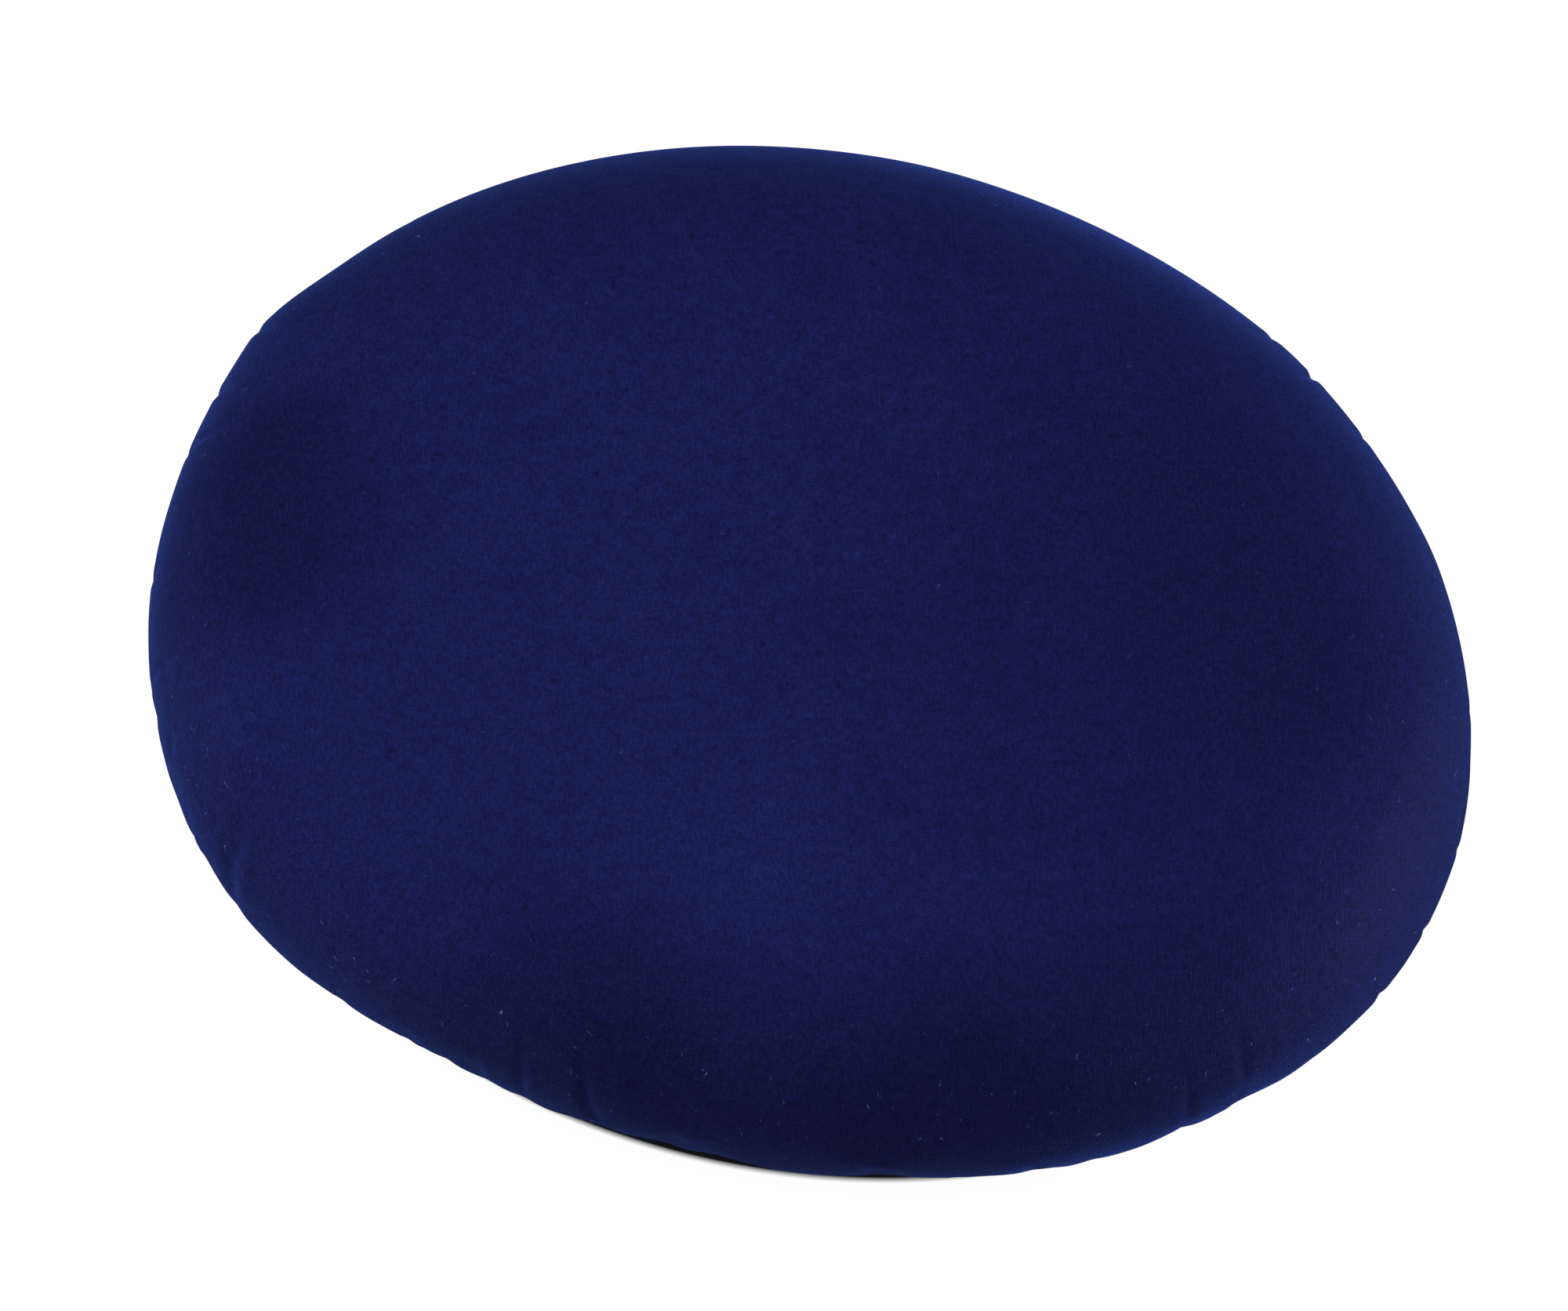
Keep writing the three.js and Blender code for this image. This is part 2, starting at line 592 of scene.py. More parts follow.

# Patches of painted shade and painted highlight, which make the cloth's colour darker or lighter by
# the share lift:
# darker on the left and right shoulders and the front wall, lighter along the front of the crown.
# Columns: x, y, reach, lift
PAINTED_SHADE_PATCHES = tuple(Patch(*row) for row in (
    (-203, 28, 20, 0.16),
    (-192, -1, 26, -0.2),
    (-178, -36, 38, -0.26),
    (-172, -64, 24, -0.12),
    (-172, -106, 30, 0.12),
    (-105, -158, 34, 0.12),
    (-70, 10, 75, 0.05),
    (-50, -172, 24, -0.1),
    (-15, -160, 28, -0.16),
    (-4, -105, 52, 0.11),
    (16, -123, 30, 0.13),
    (63, -132, 26, 0.09),
    (92, -98, 32, 0.08),
    (7, -176, 36, -0.17),
    (79, -159, 36, -0.21),
    (108, -142, 26, -0.14),
    (144, -127, 30, -0.18),
    (172, -92, 28, -0.12),
    (110, 68, 65, -0.13),
    (165, 12, 44, -0.17),
))

# The numbers of a Mix node's sockets for colours
MIX_FACTOR, MIX_A, MIX_B, MIX_RESULT = 0, 6, 7, 2

# The levels between which nearly all of a noise lies
NOISE_ENDS = {"From Min": 0.3, "From Max": 0.7}

Feed = Node | NodeSocket


@dataclass(frozen=True)
class NodeMaker:
    """Adds nodes to one material."""

    tree: NodeTree

    def add(self, kind: str, settings: dict | None = None, links: dict[str | int, Feed] | None = None
            ) -> Node:
        """Add a node with its settings and links.

        Args:
            kind: The node's type name, without the ShaderNode that it starts with.
            settings: Attributes by name, or input values by socket name or number.
            links: What feeds each input, by the input's name or number: a socket, or a node
                that feeds it from its first output.

        Returns:
            The new node.
        """
        node = self.tree.nodes.new("ShaderNode" + kind)
        for key, value in (settings or {}).items():
            if isinstance(key, str) and hasattr(node, key):
                setattr(node, key, value)
            else:
                node.inputs[key].default_value = value
        for key, feed in (links or {}).items():
            socket = feed.outputs[0] if isinstance(feed, Node) else feed
            self.tree.links.new(socket, node.inputs[key])
        return node


def bare_material(name: str) -> tuple[Material, NodeMaker]:
    """Make a material with no nodes yet.

    Args:
        name: The material's name.

    Returns:
        The material, and the maker that adds its nodes.
    """
    material = bpy.data.materials.new(name)
    material.use_nodes = True
    material.node_tree.nodes.clear()
    return material, NodeMaker(material.node_tree)


@dataclass(frozen=True)
class LooseFibres:
    """Short loose cotton fibres that cling to the cloth, paler than it and curled every way.

    Attributes:
        tone: Their colour.
        spacing: Their spacing side by side.
        stretch: How many times further apart they lie end to end.
        width: The width of a fibre.
        edge: How soft its edge is, as a share of that width.
        curls: How many curls there are in a millimetre of it.
        curl_reach: How far the curls carry it.
        turns: The ways that the fibres lie, in radians from the warp.
        strengths: How strongly they show on clean cloth and on dusty cloth.
    """

    tone: str = "5a6cb4"
    spacing: float = 5.5
    stretch: float = 5.0
    width: float = 0.18
    edge: float = 0.4
    curls: float = 0.45
    curl_reach: float = 4.0
    turns: tuple[float, float] = (0.5, 2.1)
    strengths: tuple[float, float] = (0.12, 0.75)

    def scatter(self, maker: NodeMaker, grain: Feed, tone: Feed) -> Feed:
        """Scatter the fibres over the cloth.

        Args:
            maker: Adds the nodes.
            grain: Places on the cloth, along the warp and the weft.
            tone: The cloth's colour.

        Returns:
            The colour with the fibres on it.
        """
        share = self.width / self.spacing
        scale = (1 / self.spacing, 1 / (self.stretch * self.spacing), 1.0)
        reach = (self.curl_reach, self.curl_reach, 0.0)
        curl = maker.add("TexNoise", {"Scale": self.curls, "Detail": 1.0}, {"Vector": grain})
        curled = maker.add("VectorMath", {"operation": "MULTIPLY_ADD", 1: reach},
                           {0: curl.outputs["Color"], 2: grain})
        dust = maker.add("Attribute", {"attribute_name": DUST_MAP})
        strength = maker.add("MapRange", {"To Min": self.strengths[0], "To Max": self.strengths[1]},
                             {"Value": dust.outputs["Fac"]})
        for turn in self.turns:
            drawn = maker.add("Mapping", {"Rotation": (0.0, 0.0, turn), "Scale": scale},
                              {"Vector": curled})
            cells = maker.add("TexVoronoi", {"voronoi_dimensions": "2D", "Scale": 1.0},
                              {"Vector": drawn})
            chance = maker.add("SeparateColor", links={"Color": cells.outputs["Color"]})
            width = maker.add("Math", {"operation": "MULTIPLY", 1: share}, {0: chance})
            gap = maker.add("Math", {"operation": "SUBTRACT"}, {0: width, 1: cells})
            fibre = maker.add("MapRange", {"From Max": self.edge * share},
                              {"Value": gap, "To Max": strength})
            mix = maker.add("Mix", {"data_type": "RGBA", MIX_B: linear(self.tone)},
                            {MIX_FACTOR: fibre, MIX_A: tone})
            tone = mix.outputs[MIX_RESULT]
        return tone


@dataclass(frozen=True)
class NavyPolycotton:
    """Plain-woven navy polycotton: fine, smooth yarns with a soft blue lustre.

    The cloth is piece-dyed dark navy, so it reflects little and nearly all of it blue. The
    smooth yarns give a broad blue highlight, and the fibre ends a blue bloom where the
    surface turns away from the eye.

    Attributes:
        name: The material's name.
        warp_tone: The colour of the warp yarns.
        weft_tone: The colour of the weft yarns.
        worn_tone: What the uneven dye multiplies the colour by where it is palest dyed.
        gloss: The strength of the yarns' highlight.
        gloss_tone: The colour of that highlight.
        roughness: How broad it is.
        bloom: The strength of the fibre ends' bloom.
        bloom_spread: How broad it is.
        bloom_tone: Its colour.
        warp_pitch: The spacing of the warp yarns.
        weft_pitch: The spacing of the weft yarns.
        grain_turn: The turn of the warp from the cushion's length.
        yarn_depth: The height of a yarn over the gaps.
        slub_depth: The height of a slub, as a share of that.
        relief: How strongly the relief shows.
        yarn_contrast: How much the mix of the yarns' tones follows the yarn on top.
        contrasts: How much it follows the slubs, the fibre ends and the mottle.
        mean_mix: What is taken off their sum.
        cloud_size: The size of the uneven patches in the dye.
        slub_length: The length of the thick places in a yarn.
        fuzz_size: The size of the fibre ends that stand out of the yarns.
        mottle_scale: The scale of the mottle, as a share of the fibre ends' scale.
        fibres: The loose fibres that cling to the cloth.
    """

    name: str
    warp_tone: str = "0f1234"
    weft_tone: str = "1c2056"
    worn_tone: str = "eef0f4"
    gloss: float = 0.05
    gloss_tone: str = "6079ff"
    roughness: float = 0.45
    bloom: float = 0.3
    bloom_spread: float = 0.35
    bloom_tone: str = "4e7aff"
    warp_pitch: float = 0.9
    weft_pitch: float = 0.7
    grain_turn: float = 25.0
    yarn_depth: float = 0.12
    slub_depth: float = 0.9
    relief: float = 0.8
    yarn_contrast: float = 0.05
    contrasts: tuple[float, float, float] = (0.75, 0.6, 0.9)
    mean_mix: float = 0.65
    cloud_size: float = 40.0
    slub_length: float = 2.6
    fuzz_size: float = 0.7
    mottle_scale: float = 0.12
    fibres: LooseFibres = LooseFibres()

    def dress(self, piece: Object, painted_shade: np.ndarray, dust: np.ndarray) -> None:
        """Dress a piece in the cloth, and write down at its points the painted shade and highlights,
        and how many loose fibres cling.

        Args:
            piece: The piece.
            painted_shade: What the painted shade and painted highlights multiply the colour by at each
                point, 1 where there are none.
            dust: How many loose fibres cling there, from 0 to 1.
        """
        for name, shares in ((PAINTED_SHADE_MAP, painted_shade), (DUST_MAP, dust)):
            layer = piece.data.attributes.new(name=name, type="FLOAT", domain="POINT")
            layer.data.foreach_set("value", shares.astype(np.float32))
        piece.data.materials.append(self.material())

    def material(self) -> Material:
        """Make the cloth's material, which follows the UV map named cloth.

        Returns:
            The material.
        """
        material, maker = bare_material(self.name)
        chart = maker.add("UVMap", {"uv_map": CLOTH_MAP})
        turn = -math.radians(self.grain_turn)
        grain = maker.add("Mapping", {"Rotation": (0.0, 0.0, turn)}, {"Vector": chart})
        crests, height = self.weave(maker, grain)
        slubs = self.slubs(maker, grain)
        # The dyed colour, with the painted shade and highlights multiplied in
        dyed = self.dye(maker, grain, crests, slubs)
        tone = self.fibres.scatter(maker, grain, dyed)
        surface = maker.add("Math", {"operation": "MULTIPLY_ADD", 1: self.slub_depth},
                            {0: slubs, 2: height})
        bump = maker.add("Bump", {"Strength": self.relief, "Distance": self.yarn_depth * MM},
                         {"Height": surface})
        shader = maker.add("BsdfPrincipled", {
            "Roughness": self.roughness, "Specular IOR Level": self.gloss,
            "Specular Tint": linear(self.gloss_tone), "Sheen Weight": self.bloom,
            "Sheen Roughness": self.bloom_spread, "Sheen Tint": linear(self.bloom_tone),
        }, {"Base Color": tone, "Normal": bump})
        maker.add("OutputMaterial", links={"Surface": shader})
        return material

    def weave(self, maker: NodeMaker, grain: Feed) -> tuple[Feed, Feed]:
        """Draw the plain weave, coarser than the real 0.7 by 0.5 mm so that it shows.

        Args:
            maker: Adds the nodes.
            grain: Places on the cloth, along the warp and the weft.

        Returns:
            Which yarn lies on top, from -1 for weft to 1 for warp, and the yarns' height.
        """
        scale = (math.pi / self.warp_pitch, math.pi / self.weft_pitch, 1.0)
        yarns = maker.add("Mapping", {"Scale": scale}, {"Vector": grain})
        axes = maker.add("SeparateXYZ", links={"Vector": yarns})
        warp = maker.add("Math", {"operation": "SINE"}, {0: axes})
        weft = maker.add("Math", {"operation": "SINE"}, {0: axes.outputs["Y"]})
        crests = maker.add("Math", {"operation": "MULTIPLY"}, {0: warp, 1: weft})
        return crests, maker.add("Math", {"operation": "ABSOLUTE"}, {0: crests})

    def slubs(self, maker: NodeMaker, grain: Feed) -> Feed:
        """Draw the thick and thin places along the yarns, as short streaks both ways.

        Args:
            maker: Adds the nodes.
            grain: Places on the cloth, along the warp and the weft.

        Returns:
            How thick the yarns are, about 0.5 and from 0 to 1.
        """
        streaks = []
        for x_size, y_size, weight in ((self.warp_pitch, self.slub_length, 0.58),
                                       (self.slub_length, self.weft_pitch, 0.42)):
            scale = (1 / x_size, 1 / y_size, 1.0)
            drawn = maker.add("Mapping", {"Scale": scale}, {"Vector": grain})
            noise = maker.add("TexNoise", {"noise_dimensions": "2D", "Scale": 1.0, "Detail": 1.5},
                              {"Vector": drawn})
            streaks.append(maker.add("MapRange", NOISE_ENDS | {"To Max": weight}, {"Value": noise}))
        return maker.add("Math", {"operation": "ADD"}, dict(enumerate(streaks)))

    def dye(self, maker: NodeMaker, grain: Feed, crests: Feed, slubs: Feed) -> Feed:
        """Mix the cloth's colour from its yarns, their slubs, the fibre ends and the uneven dye, and
        multiply it by the painted shade and painted highlights.

        Args:
            maker: Adds the nodes.
            grain: Places on the cloth, along the warp and the weft.
            crests: Which yarn lies on top.
            slubs: How thick the yarns are.

        Returns:
            The colour, with the painted shade and highlights in it.
        """
        mix = maker.add("MapRange", {"From Min": -1.0, "To Min": -self.yarn_contrast,
                                     "To Max": self.yarn_contrast}, {"Value": crests})
        fuzz = maker.add("TexNoise", {"noise_dimensions": "2D", "Scale": 1 / self.fuzz_size,
                                      "Detail": 3.0, "Roughness": 0.6}, {"Vector": grain})
        mottle = maker.add("TexNoise", {"noise_dimensions": "2D",
                                        "Scale": self.mottle_scale / self.fuzz_size,
                                        "Detail": 5.0, "Roughness": 0.75}, {"Vector": grain})
        for source, contrast in zip((slubs, fuzz, mottle), self.contrasts):
            mix = maker.add("Math", {"operation": "MULTIPLY_ADD", 1: contrast}, {0: source, 2: mix})
        # The palest fibre ends stand out as specks
        specks = maker.add("MapRange", {"From Min": 0.62, "From Max": 0.78, "To Max": 0.6},
                           {"Value": fuzz})
        mix = maker.add("Math", {"operation": "ADD"}, {0: mix, 1: specks})
        mix = maker.add("Math", {"operation": "SUBTRACT", 1: self.mean_mix}, {0: mix})
        yarns = maker.add("Mix", {"data_type": "RGBA", "clamp_factor": False,
                                  MIX_A: linear(self.warp_tone), MIX_B: linear(self.weft_tone)},
                          {MIX_FACTOR: mix})
        clouds = maker.add("TexNoise", {"Scale": 1 / self.cloud_size, "Detail": 3.0},
                           {"Vector": grain})
        uneven = maker.add("MapRange", NOISE_ENDS, {"Value": clouds})
        dyed = maker.add("Mix", {"data_type": "RGBA", "blend_type": "MULTIPLY",
                                 MIX_B: linear(self.worn_tone)},
                         {MIX_FACTOR: uneven, MIX_A: yarns.outputs[MIX_RESULT]})
        # Painted shade and painted highlights: the colour is scaled by the patches written at the
        # points
        painted_shade = maker.add("Attribute", {"attribute_name": PAINTED_SHADE_MAP})
        return maker.add("VectorMath", {"operation": "SCALE"},
                         {0: dyed.outputs[MIX_RESULT], "Scale": painted_shade.outputs["Fac"]})


@dataclass(frozen=True)
class CoverSizes:
    """How the cover's mesh is divided, and how it settles as cloth.

    Attributes:
        columns: Points round the side before it is smoothed.
        fine: Spacing of the rows of the side.
        coarse: Spacing of the rows at the edge of the crown.
        fine_top: The height up to which the rows are fine.
        crown_halvings: The shares of the crown's radius inside which the rings are thinned.
        crown_rows: Rows from the edge of the crown to its middle.
        frames: How many frames the cloth settles for.
        pressure: The pressure of the filling on it.
        slack: The share by which the cloth is longer at the base seam than the place it fills.
        slack_ends: The distances from the seam between which the slack fades out.
        most_move: How far a point may move.
        hold_ends: The heights between which the side grows to be held, as the crown is.
        waist_share: How much of a gather's depth is left at the widest line.
        under_share: The share of the widest line's height by which that is all that is left.
    """

    columns: int = 480
    fine: float = 4.0
    coarse: float = 7.0
    fine_top: float = 50.0
    crown_halvings: tuple[float, ...] = (0.96, 0.5, 0.25, 0.12)
    crown_rows: int = 14
    frames: int = 20
    pressure: float = 4.0
    slack: float = 0.03
    slack_ends: tuple[float, float] = (15.0, 75.0)
    most_move: float = 3.0
    hold_ends: tuple[float, float] = (58.0, 72.0)
    waist_share: float = 0.32
    under_share: float = 0.9


# The flat rings inside the base seam. Columns: share of the seam's radius, and the number of
# points of which one is kept
UNDER_RINGS = ((0.3, 16), (0.6, 8), (0.85, 4), (0.96, 2), (1.0, 1))


@dataclass(frozen=True)
class CushionCover:
    """The top panel of the cover, drawn over the ring pad and in under its rim.

    Attributes:
        outline: The widest line.
        section: The section from the base seam to the edge of the crown.
        front: The section in front, where the side stands steeper.
        finish: The cloth.
        sizes: How the mesh is divided and settled.
        front_bearing: Where the front section is whole.
        front_spread: How far it reaches to each side.
        crown_fall: How far the crown falls towards the middle.
        crown_run: Over what distance it falls.
        dusty_heights: The heights between which the loose fibres on the side grow few.
    """

    outline: Outline
    section: Section
    front: Section
    finish: NavyPolycotton
    sizes: CoverSizes = CoverSizes()
    front_bearing: float = 272.0
    front_spread: float = 52.0
    crown_fall: float = 1.5
    crown_run: float = 55.0
    dusty_heights: tuple[float, float] = (48.0, 70.0)

    def build(self) -> Object:
        """Make the finished cover.

        Returns:
            The cover, settled, smoothed and dressed.
        """
        net = self.lay_out()
        piece = net.piece("cushion_cover")
        self.settle(piece, net)
        select_only(piece)
        smooth = piece.modifiers.new("smooth", "SUBSURF")
        smooth.levels = 1
        smooth.render_levels = 1
        bpy.ops.object.modifier_apply(modifier=smooth.name)
        self.press_creases(piece.data)
        points = read_rows(piece.data, "co") / MM
        # Painted shade and painted highlights: patches that scale the cloth's colour at each point
        painted_shade = 1.0 + sum(patch.lift_at(points) for patch in PAINTED_SHADE_PATCHES)
        self.finish.dress(piece, painted_shade, 1.0 - smooth_step(points[:, 2], *self.dusty_heights))
        return piece

    def lay_out(self) -> RingNet:
        """Place the cover's rings, from the middle of the underside to that of the crown.

        Returns:
            The rings.
        """
        section, sizes, net = self.section, self.sizes, RingNet()
        edge, outward, bearings = self.outline.trace(sizes.columns)
        side = section.side(sizes.fine, sizes.coarse, sizes.fine_top)
        share = self.front_share(bearings)
        reach = side[-1, 2]
        seam_ring = edge - outward * section.seam_inset
        crown_inset = section.shoulder_reach * (1.0 - share) + self.front.shoulder_reach * share
        crown_ring = edge - outward * crown_inset[:, None]
        under_chart = crown_ring + outward * reach
        net.add(seam_ring * 0.0, section.panel_recess, under_chart, every=sizes.columns)
        for part, every in UNDER_RINGS:
            net.add(seam_ring * part, section.panel_recess, under_chart, every)
        front_side = self.front.rows_at(side[:, 2])
        for (inset, height, along, in_way, up_way), front_row in zip(side, front_side):
            front_inset, front_height = front_row[:2]
            depth = self.puckering(bearings, height)
            drawn = inset + (front_inset - inset) * share + depth * in_way
            flat = edge - outward * drawn[:, None]
            level = height + (front_height - height) * share
            top = self.crown_height(flat, inset, level) + depth * up_way
            net.add(flat, top.clip(min=0.0), crown_ring + outward * (reach - along),
                    held=1.0 if along == 0.0 else smooth_step(height, *sizes.hold_ends),
                    tight=smooth_step(along, *sizes.slack_ends))
        crown_radius = self.outline.mean_radius() - section.shoulder_reach
        for row in range(1, sizes.crown_rows):
            left = 1.0 - row / sizes.crown_rows
            every = 2 ** sum(left < limit for limit in sizes.crown_halvings)
            flat = crown_ring * left
            inset = section.shoulder_reach + (1.0 - left) * crown_radius
            net.add(flat, self.crown_height(flat, inset, section.height), flat, every)
        middle = crown_ring[:1] * 0.0
        top = self.crown_height(middle, self.outline.mean_radius(), section.height)
        net.add(middle, top, middle)
        return net

    def front_share(self, bearings: np.ndarray) -> np.ndarray:
        """Give the share of the front section at some bearings."""
        return np.exp(-(turn_between(bearings, self.front_bearing) / self.front_spread)**2)

    def crown_height(self, flat: np.ndarray, inset: float, height: float) -> np.ndarray:
        """Give the height at places on the top, with the crown's fall and its dip.

        Args:
            flat: The places.
            inset: How far they lie in from the widest line.
            height: The section's height there.

        Returns:
            The height of each place.
        """
        start = self.section.shoulder_reach
        fall = self.crown_fall * smooth_step(inset, start, start + self.crown_run)
        return height - fall + DIP.lift_at(flat)

    def puckering(self, bearings: np.ndarray, height: float) -> np.ndarray:
        """Give how far the gathers draw the side in at one height.

        Args:
            bearings: Where to read it.
            height: The height.

        Returns:
            The depth at each bearing.
        """
        waist, sizes = self.section.waist, self.sizes
        depth = np.zeros(len(bearings))
        for fold in GATHERS:
            arc = np.radians(turn_between(bearings, fold.bearing)) * self.outline.mean_radius()
            under = 1.0 - smooth_step(height, 0.0, sizes.under_share * waist)
            above = 1.0 - smooth_step(height, waist / 2, fold.top)
            along = under + (above - under) * sizes.waist_share
            depth += fold.depth * along * np.exp(-(arc / (fold.width / 2))**2)
        return depth

    def press_creases(self, mesh: Mesh) -> None:
        """Press the sharp creases into the settled and smoothed cover.

        Args:
            mesh: The cover's mesh, whose points move.
        """
        points, normals = read_rows(mesh, "co") / MM, read_rows(mesh, "normal")
        for crease in CREASES + RIM_TUCKS:
            start = self.place(crease.bearing, crease.height)
            run = self.place(crease.to_bearing, crease.to_height) - start
            length = float(np.linalg.norm(run))
            along = (points - start) @ run / length**2
            away = points - start - along[:, None] * run
            across = np.einsum("ij,ij->i", away, np.cross(normals, run / length))
            near = np.linalg.norm(away, axis=1) < self.section.shoulder_reach / 2
            share = np.where(near, (across / (crease.width / 2))**2, np.inf)
            fade = smooth_step(along, *crease.sets_in) * (1.0 - smooth_step(along, *crease.fades))
            profile = np.exp(-share) - crease.ridge * np.where(near, share, 0.0) * np.exp(1.0 - share)
            points -= normals * (crease.depth * fade * profile)[:, None]
        write_points(mesh, points)

    def place(self, bearing: float, height: float) -> np.ndarray:
        """Find a place on the side.

        Args:
            bearing: Its bearing.
            height: Its height.

        Returns:
            The place.
        """
        edge, outward, bearings = self.outline.trace(self.sizes.columns)
        step = int(np.argmin(np.abs(turn_between(bearings, bearing))))
        share = self.front_share(bearings[step])
        inset = self.section.inset_at(height) * (1.0 - share) + self.front.inset_at(height) * share
        flat = edge[step] - outward[step] * inset
        return np.array([flat[0], flat[1], height])

    def settle(self, piece: Object, net: RingNet) -> None:
        """Let the cover settle as cloth over its filling, and gather at its base seam.

        Args:
            piece: The cover, whose points move.
            net: The rings of its points.
        """
        started = read_rows(piece.data, "co") / MM
        for name, weights in (("held", np.array(net.held)), ("tight", np.array(net.tight))):
            group = piece.vertex_groups.new(name=name)
            for weight in np.unique(weights):
                group.add(np.flatnonzero(weights == weight).tolist(), float(weight), "REPLACE")
        cloth = piece.modifiers.new("cloth", "CLOTH")
        settings = cloth.settings
        settings.use_pressure = True
        settings.uniform_pressure_force = self.sizes.pressure
        settings.effector_weights.gravity = 0.0
        settings.vertex_group_mass = "held"
        settings.vertex_group_shrink = "tight"
        settings.shrink_max = 0.0
        settings.shrink_min = -self.sizes.slack
        cloth.collision_settings.use_collision = False
        scene = bpy.context.scene
        for step in range(1, self.sizes.frames + 1):
            scene.frame_set(step)
        settled = piece.evaluated_get(bpy.context.evaluated_depsgraph_get())
        moved = read_rows(settled.data, "co") / MM - started
        piece.modifiers.remove(cloth)
        piece.vertex_groups.clear()
        scene.frame_set(1)
        self.take_off_swelling(started, moved, net)
        far = np.linalg.norm(moved, axis=1, keepdims=True).clip(min=TINY)
        log.info("cloth moved %.2f mm on average, %.2f mm at most", far.mean(), far.max())
        eased = self.sizes.most_move * np.tanh(far / self.sizes.most_move)
        write_points(piece.data, started + moved * (eased / far))

    @staticmethod
    def take_off_swelling(started: np.ndarray, moved: np.ndarray, net: RingNet) -> None:
        """Take each ring's average swelling off its moves, so that the cushion keeps its size.

        Args:
            started: The points before they settled.
            moved: How far each moved, changed in place.
            net: The rings of the points.
        """
        for span in net.spans():
            rows = slice(span.start, span.stop)
            flat = started[rows, :2]
            outward = flat / np.linalg.norm(flat, axis=1, keepdims=True).clip(min=TINY)
            swelling = np.einsum("ij,ij->i", moved[rows, :2], outward).mean()
            moved[rows, :2] -= outward * swelling
            moved[rows, 2] -= moved[rows, 2].mean()


@dataclass(frozen=True)
class BasePanel:
    """The flat oval of the same cloth that closes the underside.

    Attributes:
        outline: The cushion's widest line.
        section: The cushion's section.
        finish: The cloth.
        thickness: Its thickness.
        gap: Its gap to the cover at the seam.
        columns: Points round its edge.
    """

    outline: Outline
    section: Section
    finish: NavyPolycotton
    thickness: float = 2.0
    gap: float = 0.3
    columns: int = 480

    def build(self) -> Object:
        """Make the finished panel.

        Returns:
            The panel, dressed.
        """
        edge, outward, _ = self.outline.trace(self.columns)
        rim = edge - outward * (self.section.seam_inset + self.gap)
        middle = rim[:1] * 0.0
        # A ring close to the edge keeps the rounded shading there narrow
        shares = UNDER_RINGS[:-1] + ((0.99, 1),) + UNDER_RINGS[-1:]
        net = RingNet()
        net.add(middle, 0.0, middle)
        for share, every in shares:
            net.add(rim * share, 0.0, rim * share, every)
        for share, every in reversed(shares):
            net.add(rim * share, self.thickness, rim * share, every)
        net.add(middle, self.thickness, middle)
        piece = net.piece("base_cloth")
        even = np.ones(len(piece.data.vertices))
        self.finish.dress(piece, even, even)
        return piece


def stand(name: str, data: ID, bearing: float, rise: float, distance: float,
          aim: tuple[float, float, float] = (0.0, 0.0, 0.0)) -> Object:
    """Stand a light or the camera in the scene, so that it faces its aim.

    Args:
        name: The new object's name.
        data: The light or the camera.
        bearing: Where it stands round the cushion.
        rise: Its height over the horizon.
        distance: Its distance from its aim.
        aim: The place that it faces.

    Returns:
        The new object.
    """
    turn, tilt = math.radians(bearing), math.radians(rise)
    way = Vector((math.cos(turn) * math.cos(tilt), math.sin(turn) * math.cos(tilt), math.sin(tilt)))
    holder = bpy.data.objects.new(name, data)
    holder.location = (Vector(aim) + way * distance) * MM
    holder.rotation_euler = way.to_track_quat("Z", "Y").to_euler()
    bpy.context.scene.collection.objects.link(holder)
    return holder


@dataclass(frozen=True)
class Softbox:
    """A square soft light that faces the cushion.

    Attributes:
        name: The light's name.
        bearing: Where it stands round the cushion.
        rise: Its height over the horizon.
        distance: Its distance from the cushion.
        size: Its side.
        power: Its power, in watts.
    """

    name: str
    bearing: float
    rise: float
    distance: float
    size: float
    power: float

    def build(self) -> None:
        """Hang the light."""
        light = bpy.data.lights.new(self.name, "AREA")
        light.size = self.size * MM
        light.energy = self.power
        stand(self.name, light, self.bearing, self.rise, self.distance)


# Columns: name, bearing, rise, distance, size, power
SOFTBOXES = tuple(Softbox(*row) for row in (
    ("overhead", 170, 80, 1000, 700, 7.0),
    ("near_left", 205, 50, 850, 500, 2.5),
    ("right_low", 12, 17, 1300, 740, 7.6),
    ("right_rim", 12, 8, 1300, 320, 7.2),
    ("left_rim", 192, 9, 1300, 350, 1.2),
    ("front_left_low", 239, 16, 1300, 700, 2.2),
))


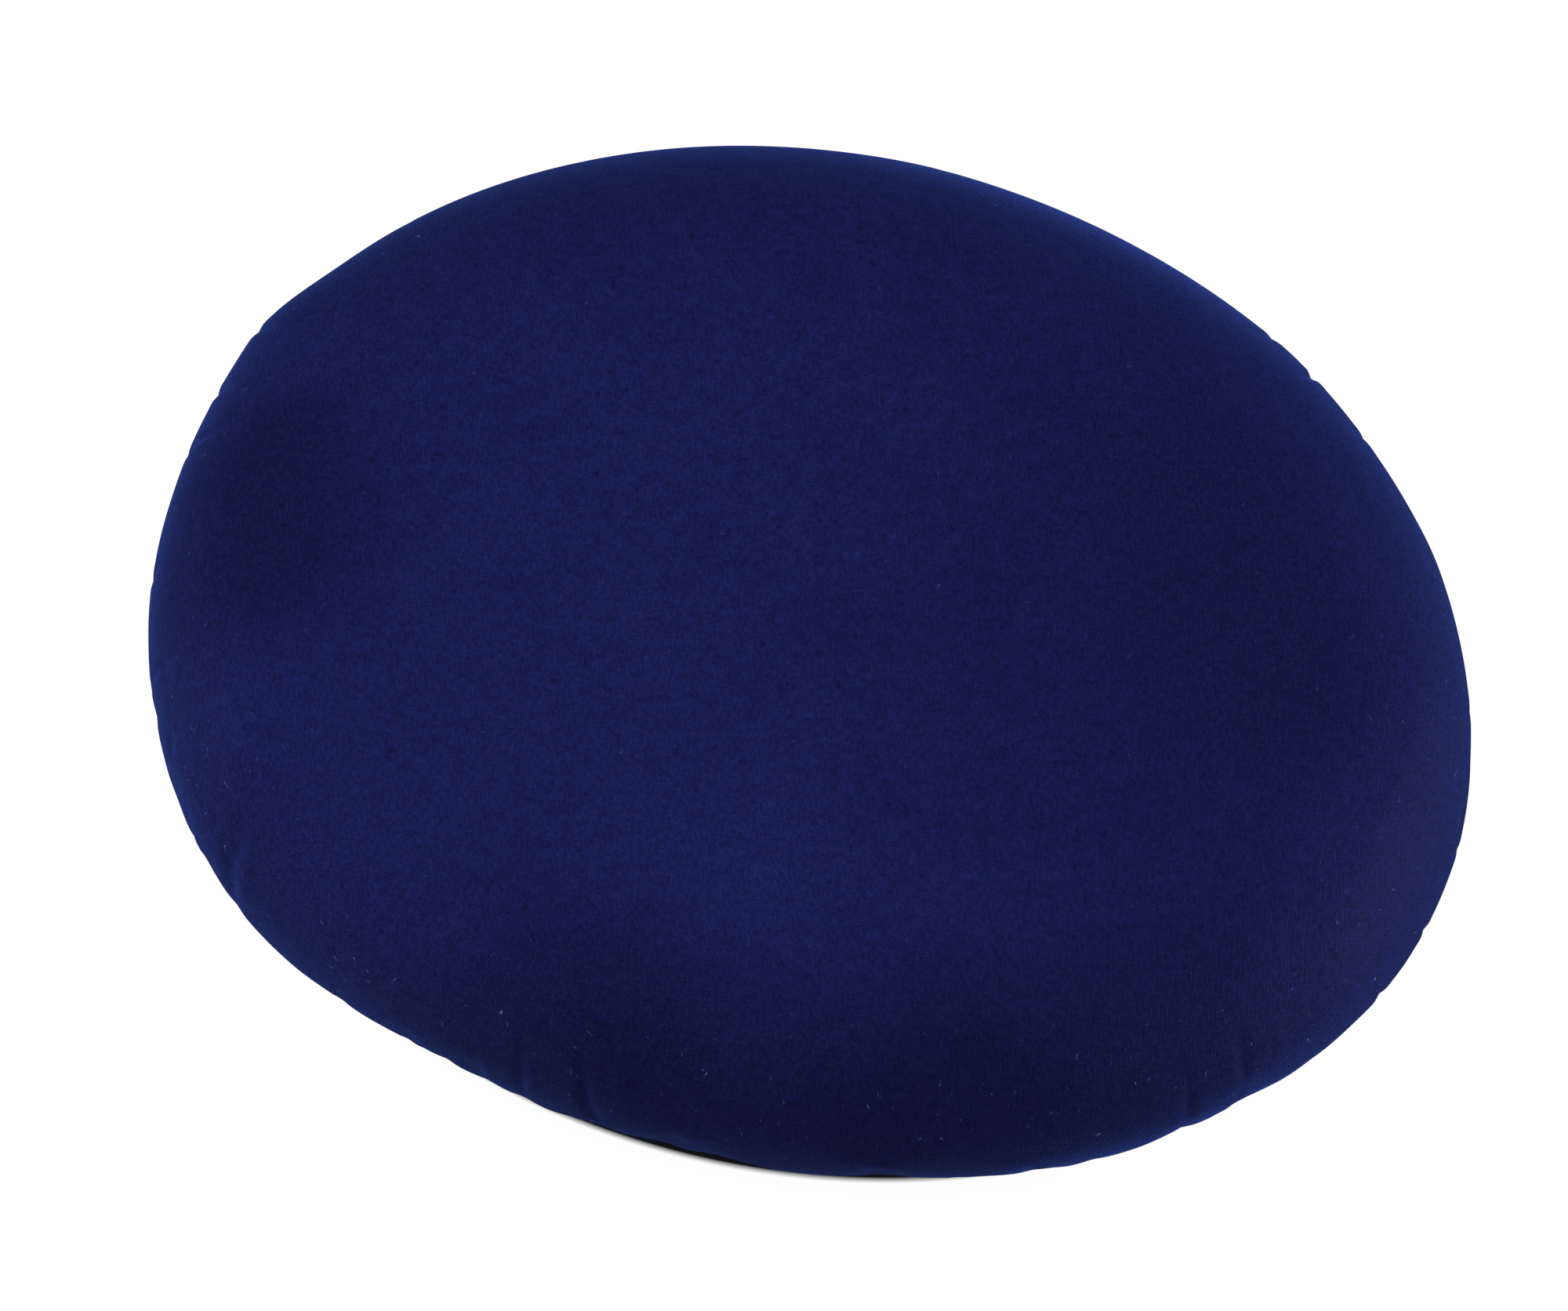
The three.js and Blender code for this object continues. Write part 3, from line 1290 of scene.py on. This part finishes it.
@dataclass(frozen=True)
class PaleFloor:
    """A wide matt floor, lit from within all round the cushion, as on a light table.

    Its glow is cut off in an oval round where the cushion rests, a painted contact shadow that gives
    the thin dark line at the front.

    Attributes:
        size: Its side, in metres.
        tone: Its colour.
        glow: How brightly it shines.
        painted_shadow_oval: The half axes of the oval of painted contact shadow, where the floor does
            not glow, and 1, in metres.
        edge: Where it shines fully, as a share of that oval.
    """

    size: float = 12.0
    tone: str = "505050"
    glow: float = 0.97
    painted_shadow_oval: tuple[float, float, float] = (0.2175, 0.182, 1.0)
    edge: float = 1.012

    def build(self) -> None:
        """Lay the floor under the cushion."""
        select_only(None)
        bpy.ops.mesh.primitive_plane_add(size=self.size, location=(0.0, 0.0, 0.0))
        floor = bpy.context.view_layer.objects.active
        floor.name = "floor"
        floor.data.materials.append(self.material())
        floor.visible_glossy = False

    def material(self) -> Material:
        """Make the floor's material.

        Returns:
            The material.
        """
        material, maker = bare_material("pale_studio_floor")
        place = maker.add("TexCoord")
        # Painted contact shadow: no glow inside the oval round the cushion's foot, rising to full glow
        # at its edge
        shares = maker.add("VectorMath", {"operation": "DIVIDE", 1: self.painted_shadow_oval},
                           {0: place.outputs["Object"]})
        away = maker.add("VectorMath", {"operation": "LENGTH"}, {0: shares})
        glow_round_painted_shadow = maker.add("MapRange", {"From Min": 1.0, "From Max": self.edge, "To Max": self.glow},
                          {"Value": away.outputs["Value"]})
        shader = maker.add("BsdfPrincipled", {"Base Color": linear(self.tone), "Roughness": 0.9,
                                              "Specular IOR Level": 0.1},
                           {"Emission Strength": glow_round_painted_shadow})
        maker.add("OutputMaterial", links={"Surface": shader})
        return material


@dataclass(frozen=True)
class Studio:
    """A plain pale floor, soft lights, faintly lit air and the camera.

    Attributes:
        bearing: Where the camera stands round the cushion.
        rise: Its height over the horizon.
        distance: How far it stands from what it looks at.
        aim: What it looks at.
        lens: Its focal length.
        air_tone: The colour of the light from all round.
        air_glow: The strength of that light.
    """

    bearing: float = -71.28
    rise: float = 60.77
    distance: float = 2200.0
    aim: tuple[float, float, float] = (-8.1, -9.2, 31.6)
    lens: float = 148.7
    air_tone: str = "f2f4fa"
    air_glow: float = 0.01

    def build(self) -> None:
        """Make the floor, the air, the lights and the camera."""
        PaleFloor().build()
        self.light_air()
        for softbox in SOFTBOXES:
            softbox.build()
        camera = bpy.data.cameras.new("camera")
        camera.lens = self.lens
        bpy.context.scene.camera = stand("camera", camera, self.bearing, self.rise, self.distance,
                                         self.aim)

    def light_air(self) -> None:
        """Light the scene evenly and faintly from all round."""
        world = bpy.data.worlds.new("studio_air")
        world.use_nodes = True
        background = world.node_tree.nodes["Background"]
        background.inputs["Color"].default_value = linear(self.air_tone)
        background.inputs["Strength"].default_value = self.air_glow
        bpy.context.scene.world = world


def main() -> None:
    """Build the cushion's pieces in order, and the studio round them."""
    low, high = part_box("cushion")
    outline = Outline(length=(high.x - low.x) / MM, width=(high.y - low.y) / MM)
    section = Section(height=(high.z - low.z) / MM)
    front = Section(section.height, waist=22.0, shoulder_reach=72.0, shoulder_power=2.2)
    cover = CushionCover(outline, section, front, NavyPolycotton("navy_polycotton_cover")).build()
    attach(cover, BODY)
    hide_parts("cushion")
    log.info("cushion_cover: %d points", len(cover.data.vertices))
    base = BasePanel(outline, section, NavyPolycotton("navy_polycotton_base")).build()
    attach(base, BODY)
    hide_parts("base_panel")
    log.info("base_cloth: %d points", len(base.data.vertices))
    Studio().build()
    bpy.context.scene.view_settings.view_transform = "Standard"


if __name__ == "__main__":
    logging.basicConfig(level=logging.INFO, format="%(name)s %(message)s")
    main()
